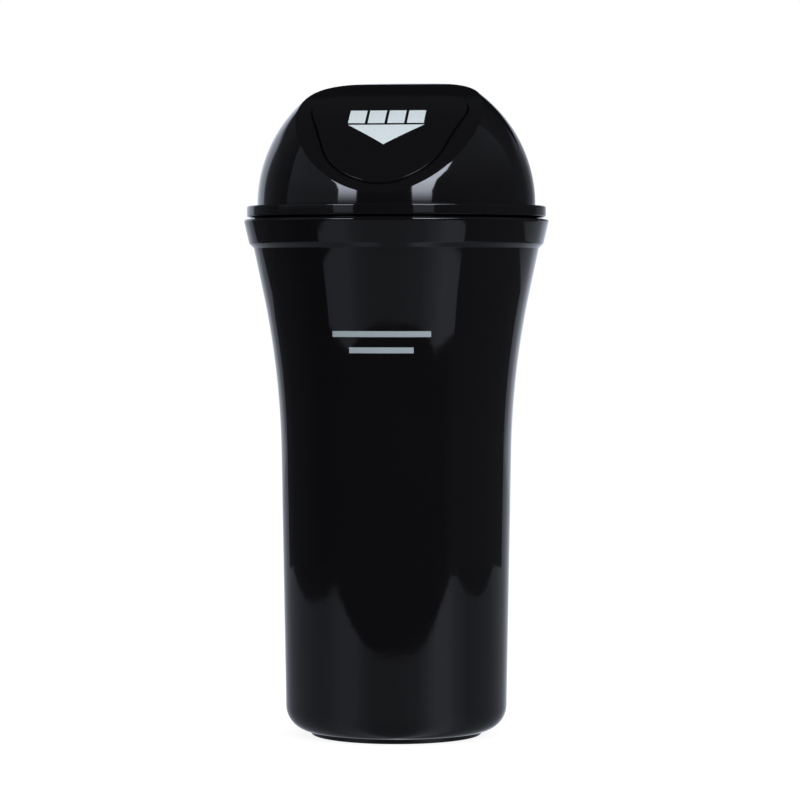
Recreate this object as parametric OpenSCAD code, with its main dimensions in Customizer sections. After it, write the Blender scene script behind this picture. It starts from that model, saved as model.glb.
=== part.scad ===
// Car trash bin for a cup holder: a flared bin, a domed lid and a spring flap in the lid's slanted face.
// Millimetres, +Z up, the flap faces -Y, the origin is the centre of the foot ring on the floor.

/* [Bin body] */
// Outer radius of the wall just above the bottom corner
base_r = 33.1; // [31.5:0.1:35]
// Radius of the bottom corner
corner_r = 7.5; // [4:0.5:10]
// Wall thickness of the bin, floor included
bin_wall = 1.7; // [1.2:0.1:2.4]
// Lean of the lower wall away from upright, in degrees
lower_lean = 1; // [0.3:0.1:1.5]
// Height at which the wall starts to flare
flare_z = 85; // [60:1:95]
// Radius of the flare's curve
flare_r = 250; // [200:5:280]
// Lean of the wall above the flare, in degrees
upper_lean = 12; // [9:0.5:13]
// Height of the wall where the rim band starts
band_z = 145.5; // [140:0.5:165]
// How far the foot ring stays inside the lower wall
foot_inset = 7.5; // [4:0.25:12]
// Width of the foot ring
foot_w = 3; // [1.5:0.5:5]
// Height of the foot ring
foot_h = 1.3; // [0.8:0.1:4]

/* [Rim band] */
// How far the band stands out from the wall at its lower edge
band_step = 1.4; // [1.2:0.1:2.5]
// Height of the sloping underside of the band
band_under_h = 1.4; // [1:0.2:3]
// Height of the whole band
band_h = 8.7; // [6.5:0.1:11]
// How much wider the band gets from its lower edge to its top
band_flare = 1.7; // [0.4:0.1:2]
// Wall thickness outside the lid's socket, at the band's lower edge
socket_wall = 1.5; // [1.2:0.1:1.8]
// Depth of the lid's socket below the rim
socket_h = 6.2; // [5:0.1:6.2]

/* [Lid] */
// Wall thickness of the lid
lid_wall = 1.8; // [1.4:0.1:2.4]
// Seat gap between the rim and the lid's flange
seat_gap = 0.3; // [0.2:0.05:0.5]
// Radial gap between the plug skirt and the socket
skirt_gap = 0.25; // [0.15:0.05:0.4]
// Length of the plug skirt below the flange
skirt_h = 5.8; // [4:0.1:5.8]
// Wall thickness of the plug skirt
skirt_wall = 1.6; // [1.2:0.1:2]
// How far the flange stays inside the rim's edge
flange_inset = 1; // [0.2:0.05:1.5]
// Height of the flange
flange_h = 3.6; // [3:0.1:6]
// How far the flange's outer edge clears the rim below it
flange_lift = 0.45; // [0.2:0.05:0.8]
// How far the dome stands inside the plug skirt's outer face
dome_inset = 0.7; // [0.4:0.05:1.2]
// Number of crush ribs round the plug skirt
crush_ribs = 8; // [4:1:16]

/* [Slanted face] */
// Tilt of the slanted face at the flap's middle, in degrees
face_tilt = 36.6; // [34:0.2:39]
// Radius of the face's curve, up and down the slope
face_r = 79.2; // [75:0.2:90]
// How deep the face's middle is cut below the dome
face_depth = 10.2; // [9.4:0.1:10.8]
// How far the flap's middle lies down the slope from the dome's own middle
face_shift = 5.4; // [4.6:0.1:6]

/* [Flap] */
// Length of the flap along the slope
flap_len = 45.8; // [43:0.2:46.2]
// Radius of the flap's two shoulders
shoulder_r = 13; // [10:0.5:14]
// Distance of each shoulder's centre from the middle line
shoulder_x = 9.7; // [8:0.1:10.5]
// Radius of the flap's chin
chin_r = 18; // [14:0.5:19]
// Gap round the flap
flap_gap = 0.5; // [0.45:0.05:0.7]
// How far the flap stands proud of the face
flap_proud = 0.6; // [0.3:0.1:0.9]
// Thickness of the flap's plate
plate_t = 1.8; // [1.4:0.1:2.2]
// Thickness of the rib under the plate's edge
rib_t = 1.5; // [1:0.1:2.2]
// Width of the stop lip outside the flap's outline
lip_w = 2; // [1.2:0.1:2.1]
// Thickness of the stop lip
lip_t = 1.2; // [0.8:0.1:1.6]
// Gap between the stop lip and the lid's shell
lip_gap = 0.3; // [0.2:0.05:0.5]
// How far the rib and the lip stop below the flap's top edge
lip_end = 11; // [10.5:0.5:16]

/* [Hinge] */
// Distance of the pin from the flap's top edge, along the slope
pin_back = 4; // [3.6:0.1:4.4]
// Depth of the pin's middle below the face
pin_depth = 4.5; // [4.4:0.1:4.9]
// Radius of the pin
pin_r = 1; // [0.8:0.05:1.1]
// Running clearance round the pin in the flap's knuckles
pin_clear = 0.05; // [0.02:0.01:0.08]
// Hair gap round the pin in the lid's lugs
pin_grip = 0.02; // [0.01:0.01:0.03]
// Radius of the knuckles and lugs
knuckle_r = 2.4; // [2.1:0.1:2.6]
// Free width between the two knuckles
knuckle_span = 14; // [10:0.5:15]
// Width of one knuckle
knuckle_w = 4; // [3:0.5:5]
// Side gap between a knuckle and its lug
lug_gap = 1; // [0.4:0.1:1.2]
// Width of one lug
lug_w = 3; // [2:0.5:3.5]
// Reach of the lug's neck from the pin to the shell
neck_reach = 8.5; // [7.5:0.25:9.5]

/* [Spring] */
// Diameter of the spring's wire
wire_d = 0.8; // [0.6:0.1:0.9]
// Turns of the coil
coil_turns = 5; // [3:1:8]
// Air between neighbouring turns
coil_air = 0.1; // [0.05:0.05:0.3]
// Play between the coil and the pin
coil_play = 0.35; // [0.2:0.05:0.5]
// Length of the leg under the flap
flap_leg = 12; // [8:0.5:16]
// Length of the leg under the lid's shell
lid_leg = 9; // [7:0.5:10]

/* [Hidden] */

black = [0.05, 0.05, 0.06];
steel = [0.62, 0.63, 0.65];
$fn = 96;

// Small edge radii of the mouldings
rim_edge = 0.7;
mouth_edge = 0.4;
band_edge = 1;
flange_edge = 1;
skirt_edge = 0.4;
foot_edge = 0.5;
arc_steps = 6;
flare_steps = 14;
corner_steps = 12;
arc_step = 6;

// Bottom corner and flare of the bin, as centre points in the radius-height plane
foot_r = base_r - foot_inset;
corner_c = [base_r - corner_r, foot_h + corner_r];
corner_from = foot_r > corner_c[0] ? -acos((foot_r - corner_c[0]) / corner_r) : -90;
lower_foot = corner_c + corner_r * [cos(lower_lean), -sin(lower_lean)];
flare_start = lower_foot + (flare_z - lower_foot[1]) * [tan(lower_lean), 1];
flare_c = flare_start + flare_r * [cos(lower_lean), -sin(lower_lean)];
flare_end = flare_c - flare_r * [cos(upper_lean), -sin(upper_lean)];

// Radii at the rim, each from the one before it
neck_r = flare_end[0] + (band_z - flare_end[1]) * tan(upper_lean);
band_r = neck_r + band_step;
rim_r = band_r + band_flare;
rim_z = band_z + band_h;
socket_r = band_r - socket_wall;
ledge_z = rim_z - socket_h;
ledge_r = neck_r + (ledge_z - band_z) * tan(upper_lean) - bin_wall / cos(upper_lean);

// Lid, from the same radii
skirt_r = socket_r - skirt_gap;
skirt_in = skirt_r - skirt_wall;
seat_z = rim_z + seat_gap;
skirt_z = seat_z - skirt_h;
flange_r = rim_r - flange_inset;
flange_z = seat_z + flange_h;
dome_lift = 0.4;
bore_inset = 0.2;
dome_r = skirt_r - dome_inset;
dome_z = flange_z + dome_lift;
bore_r = dome_r - lid_wall - bore_inset;
flange_lip = 1.2;
crush_r = 0.5;
crush_clear = 0.07;
crush_top = 0.5;
crush_foot = 1;
cut_over = 1;

// Flap frame: its origin is on the face at the flap's middle, Z' outwards, Y' up the slope
face_rise = dome_r - face_depth;
shoulder_y = flap_len / 2 - shoulder_r;
chin_y = chin_r - flap_len / 2;
rib_top_y = flap_len / 2 - lip_end;
plate_top_r = face_r + flap_proud;
plate_low_r = plate_top_r - plate_t;
lip_top_r = face_r - lid_wall - lip_gap;
lip_low_r = lip_top_r - lip_t;

// Height of a barrel surface of radius r, in the flap frame, at a place y along the slope
function barrel_h(r, y) = sqrt(r * r - y * y) - face_r;

// Pin and what sits on it, in the flap frame
pin_y = flap_len / 2 - pin_back;
pin_h = barrel_h(face_r, pin_y) - pin_depth;
knuckle_x = knuckle_span / 2;
lug_x = knuckle_x + knuckle_w + lug_gap;
neck_top = 1.5;
web_w = 3.8;
pin_half = lug_x + lug_w;

// Spring: mean radius of the coil, and where the two legs leave it
coil_r = pin_r + coil_play + wire_d / 2;
coil_pitch = wire_d + coil_air;
leg_clear = 0.1;
coil_steps = 20;
wire_sides = 8;

function unit(v) = v / norm(v);

// Points of the round that replaces corner b between a and c
function round_at(a, b, c, r) =
    let (u = unit(a - b), v = unit(c - b), half = acos(u * v) / 2)
    let (m = b + unit(u + v) * r / sin(half), s = b + u * r / tan(half) - m)
    let (turn = sign(u[1] * v[0] - u[0] * v[1]) * (180 - 2 * half), start = atan2(s[1], s[0]))
    [for (i = [0:arc_steps]) m + r * [cos(start + turn * i / arc_steps), sin(start + turn * i / arc_steps)]];

// Wall line of the bin from its bottom corner up, moved inwards by t, the corner starting at an angle
function wall_line(t, from) = concat(
    [for (i = [0:corner_steps])
        let (a = from - (from + lower_lean) * i / corner_steps)
        corner_c + (corner_r - t) * [cos(a), sin(a)]],
    [for (i = [0:flare_steps])
        let (a = lower_lean + (upper_lean - lower_lean) * i / flare_steps)
        flare_c - (flare_r + t) * [cos(a), -sin(a)]]
);

function reversed(p) = [for (i = [len(p) - 1:-1:0]) p[i]];

// Section of the bin, from the floor's middle outwards, up to the rim and back down inside
function bin_section() =
    let (neck = [neck_r, band_z], low = [band_r, band_z + band_under_h], top = [rim_r, rim_z])
    let (mouth = [socket_r, rim_z], foot_in = foot_r - foot_w)
    concat(
        [[0, foot_h], [foot_in, foot_h]],
        round_at([foot_in, foot_h], [foot_in, 0], [foot_r, 0], foot_edge),
        round_at([foot_in, 0], [foot_r, 0], [foot_r, foot_h], foot_edge),
        foot_r > corner_c[0] ? [] : [[foot_r, foot_h]],
        wall_line(0, corner_from),
        [neck],
        round_at(neck, low, top, band_edge),
        round_at(low, top, mouth, rim_edge),
        round_at(top, mouth, [socket_r, ledge_z], mouth_edge),
        [[socket_r, ledge_z], [ledge_r, ledge_z]],
        reversed(wall_line(bin_wall, -90)),
        [[0, foot_h + bin_wall]]
    );

module bin_body() {
    color(black)
        rotate_extrude()
            polygon(bin_section());
}

// Section of the flange and plug skirt, solid to the middle
function plug_section() =
    let (low = [flange_r, seat_z + flange_lift], top = [flange_r, flange_z])
    let (under = [flange_r - flange_lip, seat_z], tip = [skirt_r, skirt_z])
    concat(
        [[0, skirt_z]],
        round_at([0, skirt_z], tip, [skirt_r, seat_z], skirt_edge),
        [[skirt_r, seat_z], under],
        round_at(under, low, top, skirt_edge),
        round_at(low, top, [0, flange_z], flange_edge),
        [[0, flange_z]]
    );

// Places its children in the flap frame
module on_face() {
    translate([0, 0, dome_z])
        rotate([face_tilt, 0, 0])
            translate([0, -face_shift, face_rise])
                children();
}

// Barrel of radius r that the slanted face is cut by, its axis across the slope, in the flap frame
module barrel(r) {
    translate([0, 0, -face_r])
        rotate([0, 90, 0])
            cylinder(r = r, h = 3 * dome_r, center = true, $fn = 180);
}

// Dome with its slanted face, all surfaces moved inwards by t
module dome(t) {
    intersection() {
        translate([0, 0, dome_z])
            sphere(r = dome_r - t);
        on_face()
            barrel(face_r - t);
    }
}

// Points along an arc round c
function arc(c, r, from, to) =
    let (n = ceil(abs(to - from) / arc_step))
    [for (i = [0:n]) let (a = from + (to - from) * i / n) c + r * [cos(a), sin(a)]];

// Outline of the flap, or of its opening, moved outwards by grow: two shoulders, a chin, their tangents
module flap_outline(grow) {
    apart = norm([shoulder_x, shoulder_y - chin_y]);
    side = atan2(shoulder_y - chin_y, shoulder_x) - acos((chin_r - shoulder_r) / apart);
    polygon(concat(
        arc([shoulder_x, shoulder_y], shoulder_r + grow, side, 90),
        arc([-shoulder_x, shoulder_y], shoulder_r + grow, 90, 180 - side),
        arc([0, chin_y], chin_r + grow, 180 - side, 360 + side)
    ));
}

// Outline of the flap as a block through the face, in the flap frame
module flap_block(grow) {
    translate([0, 0, -0.35 * face_r])
        linear_extrude(0.4 * face_r)
            flap_outline(grow);
}

// Space below the end of the rib and the lip, in the flap frame
module below_rib_end() {
    translate([-dome_r, rib_top_y - 2 * dome_r, -dome_r])
        cube(2 * dome_r);
}

// Hollow of the lid from the skirt's mouth up into the dome
module lid_hollow() {
    dome(lid_wall);
    rotate_extrude()
        polygon([
            [0, skirt_z - cut_over], [skirt_in, skirt_z - cut_over], [skirt_in, seat_z],
            [bore_r, seat_z + lid_wall], [bore_r, dome_z + cut_over], [0, dome_z + cut_over]
        ]);
}

// One lug that holds the pin, with the neck that joins it to the shell behind the opening
module lug() {
    root_h = barrel_h(face_r - lid_wall / 2, pin_y + neck_reach) - pin_h;
    rotate([90, 0, 90])
        linear_extrude(lug_w) {
            circle(r = knuckle_r);
            polygon([
                [0, -knuckle_r], [neck_reach, -knuckle_r], [neck_reach, root_h],
                [pin_back, neck_top], [0, neck_top]
            ]);
        }
}

// Bore for the pin along X, through the length given
module pin_bore(r, half) {
    rotate([0, 90, 0])
        cylinder(r = r, h = 2 * half, center = true, $fn = 48);
}

module lid_dome() {
    color(black) {
        difference() {
            union() {
                rotate_extrude()
                    polygon(plug_section());
                intersection() {
                    dome(0);
                    translate([0, 0, flange_z - cut_over])
                        cylinder(r = dome_r + cut_over, h = 2 * dome_r);
                }
            }
            lid_hollow();
            on_face()
                flap_block(flap_gap);
        }
        on_face()
            translate([0, pin_y, pin_h])
                difference() {
                    for (x = [lug_x, -lug_x - lug_w])
                        translate([x, 0, 0])
                            lug();
                    pin_bore(pin_r + pin_grip, pin_half + cut_over);
                }
        for (i = [0:crush_ribs - 1])
            rotate([0, 0, (i + 0.5) * 360 / crush_ribs])
                translate([socket_r - crush_clear - crush_r, 0, skirt_z + crush_foot])
                    cylinder(r = crush_r, h = skirt_h - crush_foot - crush_top, $fn = 24);
    }
}

// One knuckle of the flap, with the web that carries it from the plate
module knuckle() {
    web_h = barrel_h(plate_low_r, pin_y) - pin_h + plate_t / 2;
    rotate([90, 0, 90])
        linear_extrude(knuckle_w) {
            circle(r = knuckle_r);
            translate([-knuckle_r, 0])
                square([web_w, web_h]);
        }
}

// Crowned plate with the rib and the stop lip under its lower part
module flap_tray() {
    difference() {
        union() {
            intersection() {
                flap_block(0);
                barrel(plate_top_r);
            }
            intersection() {
                flap_block(lip_w);
                barrel(lip_top_r);
                below_rib_end();
            }
        }
        difference() {
            barrel(plate_low_r);
            intersection() {
                difference() {
                    flap_block(lip_w + cut_over);
                    flap_block(-rib_t);
                }
                below_rib_end();
            }
        }
        barrel(lip_low_r);
    }
}

module push_flap() {
    color(black)
        on_face()
            difference() {
                union() {
                    flap_tray();
                    for (x = [knuckle_x, -knuckle_x - knuckle_w])
                        translate([x, pin_y, pin_h])
                            knuckle();
                }
                translate([0, pin_y, pin_h])
                    pin_bore(pin_r + pin_clear, pin_half + cut_over);
            }
}

module hinge_pin() {
    color(steel)
        on_face()
            translate([0, pin_y, pin_h])
                rotate([0, 90, 0])
                    cylinder(r = pin_r, h = 2 * pin_half, center = true, $fn = 48);
}

// Slope of a leg that leaves the coil's top and ends at (y, h) from the pin's middle
function leg_slope(y, h) = atan2(h, abs(y)) - asin(coil_r / norm([y, h]));

// Middle line of the spring from the flap leg's end, through the coil, to the lid leg's end
function spring_line() =
    let (half = coil_pitch * coil_turns / 2)
    let (flap_h = barrel_h(plate_low_r, pin_y - flap_leg) - pin_h - wire_d / 2 - leg_clear)
    let (lid_h = barrel_h(face_r - lid_wall, pin_y + lid_leg) - pin_h - wire_d / 2 - leg_clear)
    let (leave = 90 - leg_slope(flap_leg, flap_h), enter = 90 + leg_slope(lid_leg, lid_h))
    let (sweep = 360 * coil_turns + leave - enter, n = coil_steps * coil_turns)
    concat(
        [[-half, -flap_leg, flap_h]],
        [for (i = [0:n])
            let (a = leave - sweep * i / n)
            [-half + 2 * half * i / n, coil_r * cos(a), coil_r * sin(a)]],
        [[half, lid_leg, lid_h]]
    );

// Round wire of diameter d along the points p, which turn about the X axis
module wire(p, d) {
    last = len(p) - 1;
    ring = [for (i = [0:last])
        let (t = unit(p[min(i + 1, last)] - p[max(i - 1, 0)]))
        let (n = unit(cross(t, [1, 0, 0])), b = cross(t, n))
        [for (k = [0:wire_sides - 1])
            let (a = 360 * k / wire_sides)
            p[i] + d / 2 * (cos(a) * n + sin(a) * b)]];
    sides = [for (i = [0:last - 1]) for (k = [0:wire_sides - 1])
        let (m = (k + 1) % wire_sides)
        [i * wire_sides + k, i * wire_sides + m, (i + 1) * wire_sides + m, (i + 1) * wire_sides + k]];
    start_cap = [for (k = [wire_sides - 1:-1:0]) k];
    end_cap = [for (k = [0:wire_sides - 1]) last * wire_sides + k];
    polyhedron([for (r = ring) for (q = r) q], concat([start_cap], sides, [end_cap]), convexity = 6);
}

module torsion_spring() {
    color(steel)
        on_face()
            translate([0, pin_y, pin_h])
                wire(spring_line(), wire_d);
}

bin_body();
lid_dome();
push_flap();
hinge_pin();
torsion_spring();
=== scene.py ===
# Car trash bin for a cup holder: gloss black mouldings with a white mark on the flap
import math
import bpy
import bmesh
from mathutils import Matrix, Vector


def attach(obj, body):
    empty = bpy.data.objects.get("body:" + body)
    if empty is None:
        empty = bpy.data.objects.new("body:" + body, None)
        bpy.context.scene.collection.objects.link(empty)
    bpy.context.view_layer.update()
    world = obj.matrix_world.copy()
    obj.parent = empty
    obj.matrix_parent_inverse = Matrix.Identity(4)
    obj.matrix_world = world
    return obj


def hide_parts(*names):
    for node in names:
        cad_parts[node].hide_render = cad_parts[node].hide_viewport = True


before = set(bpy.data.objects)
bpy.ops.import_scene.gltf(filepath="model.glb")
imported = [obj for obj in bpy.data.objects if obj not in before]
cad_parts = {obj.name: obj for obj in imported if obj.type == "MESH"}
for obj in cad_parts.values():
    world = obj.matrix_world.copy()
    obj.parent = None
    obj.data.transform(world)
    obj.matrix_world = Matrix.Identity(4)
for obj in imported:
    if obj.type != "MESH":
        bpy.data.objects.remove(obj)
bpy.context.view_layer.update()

mm = 0.001  # sizes are in mm, and the objects in metres
fullTurn = 2 * math.pi
weldDistance = 0.002 * mm


# Small helpers

def leaveEdit():
    bpy.ops.object.mode_set(mode="OBJECT")


def editAll():
    bpy.ops.object.mode_set(mode="EDIT")
    bpy.ops.mesh.select_all(action="SELECT")


def deselectAll():
    if bpy.context.object and bpy.context.object.mode != "OBJECT":
        leaveEdit()
    bpy.ops.object.select_all(action="DESELECT")


def activate(obj):
    deselectAll()
    obj.select_set(True)
    bpy.context.view_layer.objects.active = obj


def added(name):
    obj = bpy.context.object
    obj.name = name
    obj.data.name = name
    return obj


def applyPlace(obj):
    activate(obj)
    bpy.ops.object.transform_apply(location=True, rotation=True, scale=True)


def applyModifiers(obj):
    activate(obj)
    for modifier in list(obj.modifiers):
        bpy.ops.object.modifier_apply(modifier=modifier.name)


def booleanWith(obj, tool, operation):
    cut = obj.modifiers.new("cut", "BOOLEAN")
    cut.operation = operation
    cut.solver = "EXACT"
    cut.object = tool
    applyModifiers(obj)
    bpy.data.objects.remove(tool, do_unlink=True)


def cleanUp(obj, smoothAngle=32):
    activate(obj)
    editAll()
    bpy.ops.mesh.remove_doubles(threshold=weldDistance)
    bpy.ops.mesh.dissolve_degenerate(threshold=weldDistance)
    bpy.ops.mesh.normals_make_consistent(inside=False)
    leaveEdit()
    bpy.ops.object.shade_smooth_by_angle(angle=math.radians(smoothAngle))


def dress(obj, body, material, slotName, *nodes):
    obj.data.materials.clear()
    obj.data.materials.append(material)
    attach(obj, body)
    if nodes:
        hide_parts(*nodes)


# A ring of points is extruded again and again, each new ring set on its place
def loftRings(name, rings):
    deselectAll()
    count = len(rings[0])
    bpy.ops.mesh.primitive_circle_add(vertices=count, radius=50 * mm)
    obj = added(name)
    editAll()
    mesh = bmesh.from_edit_mesh(obj.data)
    mesh.verts.ensure_lookup_table()
    latest = list(range(count))
    for place, index in zip(rings[0], latest):
        mesh.verts[index].co = Vector(place) * mm
    for ring in rings[1:]:
        bpy.ops.mesh.extrude_edges_indiv()
        mesh = bmesh.from_edit_mesh(obj.data)
        mesh.verts.ensure_lookup_table()
        fresh = []
        for index, place in zip(latest, ring):
            new = next(e.other_vert(mesh.verts[index]) for e in mesh.verts[index].link_edges
                       if e.other_vert(mesh.verts[index]).select)
            new.co = Vector(place) * mm
            fresh.append(new.index)
        latest = fresh
    bmesh.update_edit_mesh(obj.data)
    leaveEdit()
    return obj


# A line of points in the radius-height plane, spun about the Z axis
def spinProfile(name, points, steps):
    deselectAll()
    first = points[0]
    bpy.ops.mesh.primitive_plane_add(size=mm, location=(0, 0, 0))
    obj = added(name)
    editAll()
    bpy.ops.mesh.merge(type="CENTER")
    bpy.ops.transform.translate(value=(first[0] * mm, 0, first[1] * mm))
    for a, b in zip(points, points[1:]):
        step = ((b[0] - a[0]) * mm, 0, (b[1] - a[1]) * mm)
        bpy.ops.mesh.extrude_region_move(TRANSFORM_OT_translate={"value": step})
    bpy.ops.mesh.select_all(action="SELECT")
    bpy.ops.mesh.spin(steps=steps, angle=fullTurn, center=(0, 0, 0), axis=(0, 0, 1))
    leaveEdit()
    return obj


# Points of the round that replaces corner b between a and c, with a lead point on each side
def roundCorner(a, b, c, radius, steps=8, lead=0.35):
    a, b, c = Vector(a), Vector(b), Vector(c)
    u, v = (a - b).normalized(), (c - b).normalized()
    half = u.angle(v) / 2
    middle = b + (u + v).normalized() * radius / math.sin(half)
    start = b + u * radius / math.tan(half) - middle
    end = b + v * radius / math.tan(half) - middle
    turn = start.angle_signed(end)
    points = [b + u * (radius / math.tan(half) + lead * radius)]
    for i in range(steps + 1):
        points.append(middle + Matrix.Rotation(-turn * i / steps, 2) @ start)
    points.append(b + v * (radius / math.tan(half) + lead * radius))
    return [tuple(p) for p in points]


# Materials

def newMaterial(name):
    material = bpy.data.materials.new(name)
    material.use_nodes = True
    return material, material.node_tree.nodes, material.node_tree.links


def shaded(colour, share=1):
    return (*[share * c for c in colour], 1)


def addNoise(nodes, links, place, scale, detail):
    noise = nodes.new("ShaderNodeTexNoise")
    noise.inputs["Scale"].default_value = scale
    noise.inputs["Detail"].default_value = detail
    links.new(place, noise.inputs["Vector"])
    return noise.outputs["Fac"]


# A node that carries a socket's value from one range to another
def addRange(nodes, links, value, source=(0, 1), target=(0, 1)):
    span = nodes.new("ShaderNodeMapRange")
    for name, limit in zip(("From Min", "From Max", "To Min", "To Max"), (*source, *target)):
        span.inputs[name].default_value = limit
    links.new(value, span.inputs["Value"])
    return span


# Two colours, each a tuple or a socket, mixed by a socket's value
def mixColours(nodes, links, factor, first, second):
    mix = nodes.new("ShaderNodeMix")
    mix.data_type = "RGBA"
    links.new(factor, mix.inputs["Factor"])
    for side, colour in (("A", first), ("B", second)):
        if isinstance(colour, tuple):
            mix.inputs[side].default_value = colour
        else:
            links.new(colour, mix.inputs[side])
    return mix.outputs["Result"]


plasticLook = {
    "colour": (0.0043, 0.0042, 0.0050),
    "fleck": (0.0051, 0.0050, 0.0059),
    "refraction": 1.5,
    "roughness": (0.03, 0.06),
    "seedShift": (1, 0.7, 1.3),
    "patchScale": 38,  # per metre, slow change of polish
    "patchDetail": 3,
    "patchRange": (0.3, 0.7),
    "peelScale": 420,  # per metre, fine waviness of a moulded skin
    "peelDetail": 1,
    "peelHeight": 0.0000035,
}
inkLook = {
    "roughness": 0.35,
    "grainScale": 900,  # per metre
    "grainDetail": 2,
    "darker": 0.93,
}
steelLook = {
    "drawn": (60, 2500, 2500),  # per metre, lines along X
    "detail": 2,
    "darker": 0.8,
    "smoother": 0.06,
    "rougher": 0.08,
}


def glossBlack(name, seed):
    look = plasticLook
    material, nodes, links = newMaterial(name)
    shader = nodes["Principled BSDF"]
    shader.inputs["IOR"].default_value = look["refraction"]
    where = nodes.new("ShaderNodeTexCoord")
    place = nodes.new("ShaderNodeMapping")
    place.inputs["Location"].default_value = [seed * shift for shift in look["seedShift"]]
    links.new(where.outputs["Object"], place.inputs["Vector"])
    spot = place.outputs["Vector"]
    patch = addNoise(nodes, links, spot, look["patchScale"], look["patchDetail"])
    colour = mixColours(nodes, links, patch, shaded(look["colour"]), shaded(look["fleck"]))
    links.new(colour, shader.inputs["Base Color"])
    rough = addRange(nodes, links, patch, look["patchRange"], look["roughness"])
    links.new(rough.outputs["Result"], shader.inputs["Roughness"])
    bump = nodes.new("ShaderNodeBump")
    bump.inputs["Strength"].default_value = 1
    bump.inputs["Distance"].default_value = look["peelHeight"]
    peel = addNoise(nodes, links, spot, look["peelScale"], look["peelDetail"])
    links.new(peel, bump.inputs["Height"])
    links.new(bump.outputs["Normal"], shader.inputs["Normal"])
    return material


def printInk(name, colour):
    look = inkLook
    material, nodes, links = newMaterial(name)
    shader = nodes["Principled BSDF"]
    shader.inputs["Roughness"].default_value = look["roughness"]
    where = nodes.new("ShaderNodeTexCoord")
    grain = addNoise(
        nodes, links, where.outputs["Object"], look["grainScale"], look["grainDetail"])
    tone = mixColours(nodes, links, grain, shaded(colour, look["darker"]), shaded(colour))
    links.new(tone, shader.inputs["Base Color"])
    return material


def drawnSteel(name, colour, roughness):
    look = steelLook
    material, nodes, links = newMaterial(name)
    shader = nodes["Principled BSDF"]
    shader.inputs["Metallic"].default_value = 1
    where = nodes.new("ShaderNodeTexCoord")
    stretch = nodes.new("ShaderNodeMapping")
    stretch.inputs["Scale"].default_value = look["drawn"]
    links.new(where.outputs["Object"], stretch.inputs["Vector"])
    lines = addNoise(nodes, links, stretch.outputs["Vector"], 1, look["detail"])
    tone = mixColours(nodes, links, lines, shaded(colour, look["darker"]), shaded(colour))
    links.new(tone, shader.inputs["Base Color"])
    polish = (roughness - look["smoother"], roughness + look["rougher"])
    rough = addRange(nodes, links, lines, target=polish)
    links.new(rough.outputs["Result"], shader.inputs["Roughness"])
    return material


binBlack = glossBlack("bin black", 0.0)
lidBlack = glossBlack("lid black", 0.31)
flapBlack = glossBlack("flap black", 0.67)
flapInk = printInk("flap ink", (0.67, 0.75, 0.80))
bodyInk = printInk("body ink", (0.34, 0.40, 0.44))
pinSteel = drawnSteel("pin steel", (0.56, 0.57, 0.58), 0.24)
springSteel = drawnSteel("spring steel", (0.5, 0.51, 0.52), 0.3)
print("materials made")


# The bin: one spun moulding with a foot ring, a flare, a rim band and a socket for the lid

binSizes = {
    "baseRadius": 33.1,
    "cornerRadius": 7.5,
    "wall": 1.7,
    "lowerLean": 1,  # degrees
    "flareStart": 85,
    "flareRadius": 250,
    "upperLean": 12,  # degrees
    "bandStart": 145.5,
    "footInset": 7.5,
    "footWidth": 3,
    "footHeight": 1.3,
    "bandStep": 1.4,
    "bandUnder": 1.4,
    "bandHeight": 8.7,
    "bandFlare": 1.7,
    "socketWall": 1.5,
    "socketDepth": 6.2,
    "edges": {"rim": 0.7, "mouth": 0.4, "band": 0.9, "foot": 0.5},
    "smallRound": (0.25, 4),  # radius and steps
    "floorLead": 0.2,
    "cornerSteps": 16,
    "wallShares": (0.03, 0.12, 0.35, 0.65, 0.9),  # of the way up the straight wall
    "flareSteps": 40,
    "spinSteps": 240,
}


def leanDirection(degrees):
    return Vector((math.cos(math.radians(degrees)), -math.sin(math.radians(degrees))))


tub = binSizes
footRadius = tub["baseRadius"] - tub["footInset"]
cornerCentre = Vector((
    tub["baseRadius"] - tub["cornerRadius"], tub["footHeight"] + tub["cornerRadius"]))
lowerFoot = cornerCentre + tub["cornerRadius"] * leanDirection(tub["lowerLean"])
lowerSlope = math.tan(math.radians(tub["lowerLean"]))
flareFoot = lowerFoot + (tub["flareStart"] - lowerFoot.y) * Vector((lowerSlope, 1))
flareCentre = flareFoot + tub["flareRadius"] * leanDirection(tub["lowerLean"])
flareEnd = flareCentre - tub["flareRadius"] * leanDirection(tub["upperLean"])
upperSlope = math.tan(math.radians(tub["upperLean"]))
neckRadius = flareEnd.x + (tub["bandStart"] - flareEnd.y) * upperSlope
bandRadius = neckRadius + tub["bandStep"]
rimRadius = bandRadius + tub["bandFlare"]
rimHeight = tub["bandStart"] + tub["bandHeight"]
socketRadius = bandRadius - tub["socketWall"]
ledgeHeight = rimHeight - tub["socketDepth"]
ledgeRadius = neckRadius + (ledgeHeight - tub["bandStart"]) * upperSlope
ledgeRadius -= tub["wall"] / math.cos(math.radians(tub["upperLean"]))


# The wall's line from the bottom corner to the end of the flare, moved inwards
def wallLine(inset, startAngle):
    line = []
    steps = tub["cornerSteps"]
    for i in range(steps + 1):
        a = math.radians(startAngle - (startAngle + tub["lowerLean"]) * i / steps)
        around = Vector((math.cos(a), math.sin(a)))
        line.append(tuple(cornerCentre + (tub["cornerRadius"] - inset) * around))
    low = Vector(line[-1])
    high = flareCentre - (tub["flareRadius"] + inset) * leanDirection(tub["lowerLean"])
    line += [tuple(low.lerp(high, share)) for share in tub["wallShares"]]
    steps = tub["flareSteps"]
    for i in range(steps + 1):
        lean = tub["lowerLean"] + (tub["upperLean"] - tub["lowerLean"]) * i / steps
        line.append(tuple(flareCentre - (tub["flareRadius"] + inset) * leanDirection(lean)))
    return line


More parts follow.
